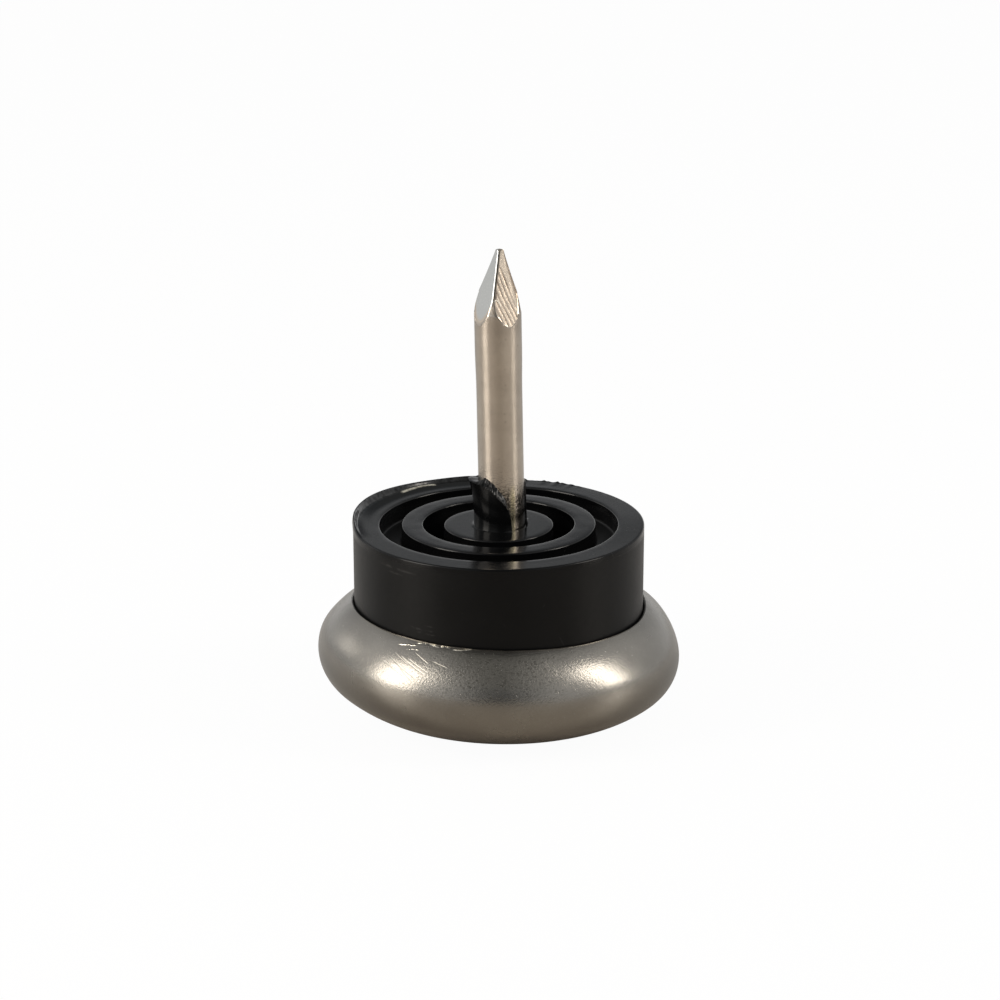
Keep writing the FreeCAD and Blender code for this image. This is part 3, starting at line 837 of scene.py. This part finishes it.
def cap_steel():
    """Satin stainless steel: grained, with a pitted band and some scratches in front."""
    material, tree, shader, place = new_finish("satin_stainless", Metallic=1.0)
    around, up = use_group(tree, UNROLL, Place=place, Radius=CAP_UNROLL_RADIUS)
    grain = use_group(tree, GRAIN, Place=place, Scale=7000.0)
    streaks = use_group(tree, STREAKS, Place=place, Scale=9000.0, Share=0.03)
    cloud = noise_value(tree, place, 300.0, 4.0, 0.6)

    # the front is worn in a band over the bulge, where the pits are open
    front = remap(tree, maths(tree, "ABSOLUTE", around), 9.0, 4.0)
    band = times(tree, remap(tree, up, 4.2, 4.8), remap(tree, up, 7.3, 6.8))
    worn = times(tree, front, band, remap(tree, cloud, 0.35, 0.55, 0.4, 1.0))
    squat = stretched(tree, place, (0.7, 0.7, 1.5))
    pits = times(tree, remap(tree, noise_value(tree, squat, 8500.0, 2.0), 0.5, 0.72), worn)
    scratches = strokes(tree, around, up, CAP_SCRATCHES)
    scratched = most(tree, times(tree, streaks, 0.5), scratches)

    # the lip's folds wander a little and come and go; the bump raises them and they carry a painted
    # highlight
    wavy = plus(tree, up, remap(tree, noise_value(tree, place, 1300.0), 0.3, 0.7, -0.04, 0.04))
    patchy = remap(tree, noise_value(tree, place, 3400.0), 0.38, 0.55)
    lip_folds_and_glints = times(tree, strokes(tree, around, wavy, LIP_FOLDS_AND_GLINTS), patchy)

    steel = blend_colour(tree, remap(tree, cloud, 0.3, 0.7), STEEL_DARK, STEEL_LIGHT)
    # painted shade: the steel is darker and redder towards the floor
    foot = remap(tree, up, 2.6, 0.4)
    steel = blend_colour(tree, times(tree, foot, 0.35), steel, STEEL_FOOT_SHADE)
    steel = blend_colour(tree, times(tree, grain, 0.25), steel, STEEL_GRAIN)
    steel = blend_colour(tree, times(tree, pits, 0.8), steel, STEEL_PIT)
    # the scratches are a little paler; the lip's folds take the pale colour as a painted highlight
    scratches_and_glints = most(tree, times(tree, scratches, 0.24), lip_folds_and_glints)
    steel = blend_colour(tree, scratches_and_glints, steel, STEEL_SCRATCH_AND_GLINT)
    tree.links.new(steel, shader.inputs["Base Color"])

    rough = plus(tree, 0.21, times(tree, cloud, 0.10))
    rough = plus(tree, rough, times(tree, scratched, 0.15))
    tree.links.new(rough, shader.inputs["Roughness"])

    relief = times(tree, grain, plus(tree, 0.3, times(tree, worn, 0.2)))
    relief = minus(tree, relief, times(tree, pits, 0.32))
    relief = minus(tree, relief, times(tree, scratched, 0.6))
    relief = plus(tree, relief, times(tree, lip_folds_and_glints, 2.0))
    lift(tree, shader, relief, 0.000014)
    return material


def insert_plastic():
    """Black moulded plastic: glossy on the rings, duller on the side, paler where it is torn."""
    material, tree, shader, place = new_finish(
        "black_moulding", Metallic=0.0, Specular_IOR_Level=0.15, Coat_Roughness=0.08)
    around, up = use_group(tree, UNROLL, Place=place, Radius=BARREL_TOP_RADIUS)
    torn = stored(tree, "mark")
    grain = use_group(tree, GRAIN, Place=place, Scale=3500.0)
    streaks = use_group(tree, STREAKS, Place=place, Scale=6000.0, Share=0.02)
    cloud = noise_value(tree, place, 400.0, 3.0, 0.6)
    fine = noise_value(tree, place, 2500.0, 3.0, 0.6)
    flattened = vectors(tree, "MULTIPLY", place, (1.0, 1.0, 0.0))
    radius = vectors(tree, "LENGTH", flattened, output="Value")
    side = maths(tree, "GREATER_THAN", radius, 9.4 * MM)
    rings = remap(tree, up, 12.2, 12.6)
    squat = stretched(tree, place, (1.0, 1.0, 3.0))
    patchy = remap(tree, noise_value(tree, squat, 1500.0, 4.0, 0.7), 0.45, 0.6)
    scuffs = times(tree, strokes(tree, around, up, BARREL_SCUFFS), side, patchy)

    black = blend_colour(tree, cloud, BLACK_DEEP, BLACK_SOFT)
    pale = times(tree, torn, remap(tree, fine, 0.4, 0.65, 0.0, 0.15))
    dusty = most(tree, times(tree, streaks, 0.10), times(tree, scuffs, 0.22), pale)
    black = blend_colour(tree, dusty, black, PLASTIC_DUSTY)
    # painted highlight: cream strokes on the burr stand in for a lamp's glint there
    burr_glint = strokes(tree, around, up, BURR_GLINT_STROKES)
    burr_glint = times(tree, burr_glint, remap(tree, fine, 0.2, 0.6, 0.1, 0.7))
    black = blend_colour(tree, burr_glint, black, PLASTIC_GLINT)
    tree.links.new(black, shader.inputs["Base Color"])

    rough = minus(tree, 0.34, times(tree, rings, 0.22))
    rough = plus(tree, rough, times(tree, cloud, 0.08))
    rough = plus(tree, rough, times(tree, most(tree, streaks, scuffs), 0.15))
    tree.links.new(rough, shader.inputs["Roughness"])

    relief = minus(tree, times(tree, grain, 0.3), times(tree, streaks, 0.5))
    relief = plus(tree, relief, times(tree, torn, times(tree, fine, 4.0)))
    lift(tree, shader, relief, 0.000004)

    # a clear gloss lies on the drawn-up burr, in patches, and thinly on the rings
    outside = maths(tree, "GREATER_THAN", radius, 9.1 * MM)
    drawn_up = times(tree, remap(tree, up, 12.86, 12.98), outside)
    shiny = times(tree, drawn_up, remap(tree, fine, 0.35, 0.6, 0.05, 0.7))
    shiny = most(tree, shiny, times(tree, minus(tree, rings, side), 0.12))
    tree.links.new(shiny, shader.inputs["Coat Weight"])
    return material


def nail_steel():
    """Bright plated steel, finely dimpled, with faint marks along it and paler cut faces. Light is
    painted on it too: a dark stipple where it stands in the insert, for the black insert it
    mirrors, with a highlight line through it, shade in the point's grooves and hollows, pale glints
    on the ridge and a warmer right flat."""
    material, tree, shader, place = new_finish("bright_plated_steel", Metallic=1.0)
    around, up = use_group(tree, UNROLL, Place=place, Radius=NAIL_RADIUS)
    cut = stored(tree, "mark")
    groove = stored(tree, "groove")
    grain = use_group(tree, GRAIN, Place=place, Scale=9000.0)
    specks = use_group(tree, SPECKS, Place=place, Scale=2600.0, Amount=0.25)
    drawn = noise_value(tree, stretched(tree, place, (1.0, 1.0, 0.04)), 5000.0, 2.0)
    cloud = noise_value(tree, place, 500.0, 3.0, 0.6)

    steel = blend_colour(tree, remap(tree, cloud, 0.35, 0.65), NAIL_DARK, NAIL_LIGHT)
    steel = blend_colour(tree, times(tree, specks, 0.3), steel, NAIL_SPECK)
    # painted light: cut faces pass through a warmer colour, where the right flat stays, as if lit
    # by the lamp
    steel = blend_colour(tree, remap(tree, cut, 0.0, 0.5), steel, NAIL_CUT_LAMP_WARMED)
    steel = blend_colour(tree, remap(tree, cut, 0.5, 1.0), steel, NAIL_CUT)
    # painted shade in the point's grooves; also darker towards the right flat's edge
    steel = blend_colour(tree, times(tree, groove, 0.95), steel, NAIL_GROOVE_SHADE)
    # painted shade: dark strokes in the hollows of the front ridge
    steel = blend_colour(tree, strokes(tree, around, up, RIDGE_HOLLOW_SHADES), steel, NAIL_HOLLOW_SHADE)
    # painted highlight: near-white strokes on the sliver along the ridge
    steel = blend_colour(tree, strokes(tree, around, up, RIDGE_FOLD_GLINTS), steel, NAIL_FOLD_GLINT)

    # painted reflection: the foot is darkened in a stipple for the black insert it mirrors, but for
    # a line with a painted highlight
    low = remap(tree, up, 15.9, 13.2)
    insert_reflection = plus(tree, noise_value(tree, place, 11000.0, 1.0), times(tree, low, 0.33))
    insert_reflection = times(tree, remap(tree, insert_reflection, 0.6, 0.66), remap(tree, low, 0.0, 0.05))
    off_line = maths(tree, "ABSOLUTE", minus(tree, around, HIGHLIGHT_LINE_AROUND))
    insert_reflection = times(tree, insert_reflection, remap(tree, off_line, 0.12, 0.28, 0.3, 1.0))
    highlight_line = times(tree, remap(tree, off_line, 0.24, 0.08), remap(tree, low, 0.0, 0.4))
    steel = blend_colour(tree, times(tree, highlight_line, 0.6), steel, NAIL_PAINTED_HIGHLIGHT)
    steel = blend_colour(tree, times(tree, insert_reflection, 0.85), steel, NAIL_INSERT_REFLECTION)
    tree.links.new(steel, shader.inputs["Base Color"])

    rough = plus(tree, 0.11, times(tree, drawn, 0.14))
    rough = times(tree, rough, remap(tree, cut, 0.5, 0.8, 1.0, 0.5))
    tree.links.new(rough, shader.inputs["Roughness"])

    dimples = times(tree, grain, remap(tree, cut, 0.0, 0.3, 0.8, 0.2))
    relief = plus(tree, times(tree, drawn, 0.4), dimples)
    lift(tree, shader, relief, 0.000006)
    return material


# Studio

def backdrop_rays(tree):
    """1 for rays that see the backdrop: straight from the camera, mirrored or through glass."""
    path = add_node(tree, "ShaderNodeLightPath").outputs
    return most(tree, path["Is Camera Ray"], path["Is Glossy Ray"], path["Is Transmission Ray"])


def make_world():
    """A white backdrop behind, pale screens at both sides, and a dim room with a ceiling."""
    world = bpy.data.worlds.new("studio")
    bpy.context.scene.world = world
    world.use_nodes = True
    tree = world.node_tree
    tree.nodes.clear()
    x, y, z = split(tree, add_node(tree, "ShaderNodeTexCoord").outputs["Generated"])

    # the backdrop ends not far above the table and is a little darker at its sides
    behind = times(tree, remap(tree, y, -0.45, 0.05), remap(tree, z, 0.40, 0.10))
    beside = remap(tree, maths(tree, "ABSOLUTE", x), 0.40, 0.65, 1.0, 0.75)
    behind = times(tree, behind, beside)

    # the screens have soft inner edges and are a little darker far out and far back
    left = times(tree, remap(tree, x, -0.12, -0.55), remap(tree, x, -0.7, -1.0, 1.0, 0.7))
    right = times(tree, remap(tree, x, 0.14, 0.60, 0.0, 0.85), remap(tree, x, 0.7, 1.0, 1.0, 0.7))
    screens = times(tree, most(tree, left, right), remap(tree, y, 0.35, 0.75, 1.0, 0.75))

    camera = add_node(tree, "ShaderNodeLightPath").outputs["Is Camera Ray"]
    white = most(tree, behind, screens, camera)
    room = blend_colour(tree, remap(tree, z, 0.42, 0.62), ROOM_DIM, ROOM_CEILING)
    mirrored = blend_colour(tree, white, room, WHITE)
    colour = blend_colour(tree, backdrop_rays(tree), ROOM_LIGHT, mirrored)
    light = add_node(tree, "ShaderNodeBackground", {"Color": colour, "Strength": 1.0})
    add_node(tree, "ShaderNodeOutputWorld", {"Surface": light.outputs[0]})


def make_floor():
    """A pale, slightly glossy table top that is white to the camera, but for the shadow. It
    lies a hair below the glide."""
    half = 1.5
    corners = [(-half, -half, 0), (half, -half, 0), (half, half, 0), (-half, half, 0)]
    mesh = bpy.data.meshes.new("floor")
    mesh.from_pydata(corners, [], [(0, 1, 2, 3)])
    floor = bpy.data.objects.new("floor", mesh)
    floor.location.z = -0.00002
    bpy.context.scene.collection.objects.link(floor)
    material = bpy.data.materials.new("pale_floor")
    material.use_nodes = True
    tree = material.node_tree
    tree.nodes.clear()
    camera = add_node(tree, "ShaderNodeLightPath").outputs["Is Camera Ray"]
    place = add_node(tree, "ShaderNodeTexCoord").outputs["Object"]
    # painted shade: to light bounced off it, the table is darker and warmer in front, darker on the
    # left
    x, y = split(tree, vectors(tree, "NORMALIZE", place))[:2]
    front = blend_colour(tree, remap(tree, x, -0.7, 0.7), FLOOR_SHADED_LEFT, FLOOR_SHADED_RIGHT)
    paint = blend_colour(tree, remap(tree, y, 0.3, -0.8), FLOOR_LIT_BACK, front)
    paint = blend_colour(tree, camera, paint, FLOOR_SEEN)
    top = add_node(tree, "ShaderNodeBsdfPrincipled", {"Base Color": paint, "Roughness": 0.37})
    white = add_node(tree, "ShaderNodeEmission", {"Color": WHITE, "Strength": 1.0})
    share = times(tree, camera, 0.96)
    layers = {0: share, 1: top.outputs[0], 2: white.outputs[0]}
    mixed = add_node(tree, "ShaderNodeMixShader", layers)
    add_node(tree, "ShaderNodeOutputMaterial", {"Surface": mixed.outputs[0]})
    mesh.materials.append(material)


def look_from(item, target, azimuth, elevation, distance):
    """Stand a lamp or the camera off from a target and turn it to look there."""
    a, e = math.radians(azimuth), math.radians(elevation)
    way = Vector((math.cos(e) * math.cos(a), math.cos(e) * math.sin(a), math.sin(e)))
    item.location = Vector(target) + way * distance
    item.rotation_euler = way.to_track_quat("Z", "Y").to_euler()
    bpy.context.scene.collection.objects.link(item)


def add_lamp(name, azimuth, elevation, size, power, colour):
    """A soft box that looks at the glide's cap from 0.3 m away."""
    lamp = bpy.data.lights.new(name, "AREA")
    lamp.shape = "RECTANGLE"
    lamp.size, lamp.size_y = size
    lamp.energy = power
    lamp.color = colour
    look_from(bpy.data.objects.new(name, lamp), (0, 0, 0.008), azimuth, elevation, 0.30)


def make_camera():
    """The photograph's view: from the front, 17.3 degrees down, 258 mm away."""
    focal_pixels = 3926.5
    frame_pixels = 1000
    data = bpy.data.cameras.new("camera")
    data.sensor_width = 36.0
    data.lens = focal_pixels / frame_pixels * data.sensor_width
    data.clip_start = 0.01
    camera = bpy.data.objects.new("camera", data)
    look_from(camera, (0.000089, 0, 0.01438), -90.0, 17.3, 0.2584)
    bpy.context.scene.camera = camera


make_cap(cap_steel())
make_insert(insert_plastic())
make_nail(nail_steel())

make_world()
make_floor()
add_lamp("right_soft_box", -11.5, 28.5, (0.085, 0.212), 0.47, LAMP_WARM)
add_lamp("left_soft_box", 202.0, 24.2, (0.13, 0.234), 0.72, LAMP_WARM)
add_lamp("left_screen", 152.0, 19.5, (0.10, 0.08), 0.029, SCREEN_WARM)
make_camera()
bpy.context.scene.view_settings.view_transform = "Standard"
